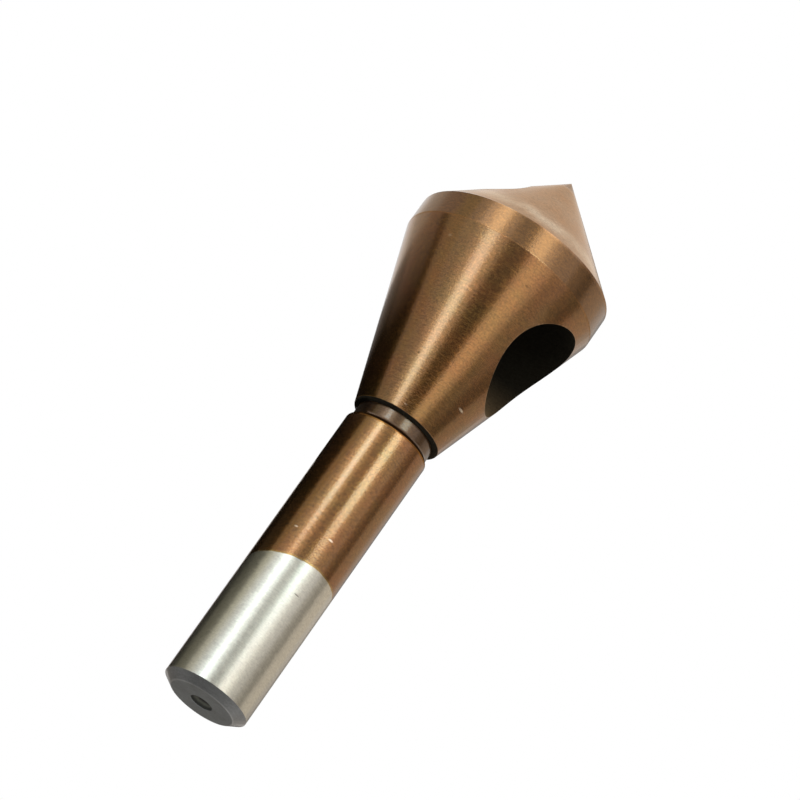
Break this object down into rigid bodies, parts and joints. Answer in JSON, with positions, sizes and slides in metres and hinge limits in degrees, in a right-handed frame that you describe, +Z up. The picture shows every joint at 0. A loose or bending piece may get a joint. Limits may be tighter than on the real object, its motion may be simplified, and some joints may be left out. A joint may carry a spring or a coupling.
{
  "type": "cross-hole countersink bit",
  "caption": "Countersink bit with a plain round shank, a ground neck and a flared head whose 90 degree point is crossed by a slanted hole that makes the cutting lip.",
  "frame": {"origin": "centre of the shank's flat end face, where the tool axis meets it", "axes": "+Z up the tool axis from the shank's end to the point; the slanted hole lies along X and opens on the point at -X and on the back of the head at +X"},
  "size_m": [0.028, 0.028, 0.087],
  "materials": {
    "coated_steel": "high-speed steel, ground all over; bronze-brown hard coating from the point down to 21 mm above the shank's end, bare bright steel below"
  },
  "bodies": {
    "root": {"countersink_bit": "coated_steel"}
  },
  "joints": []
}
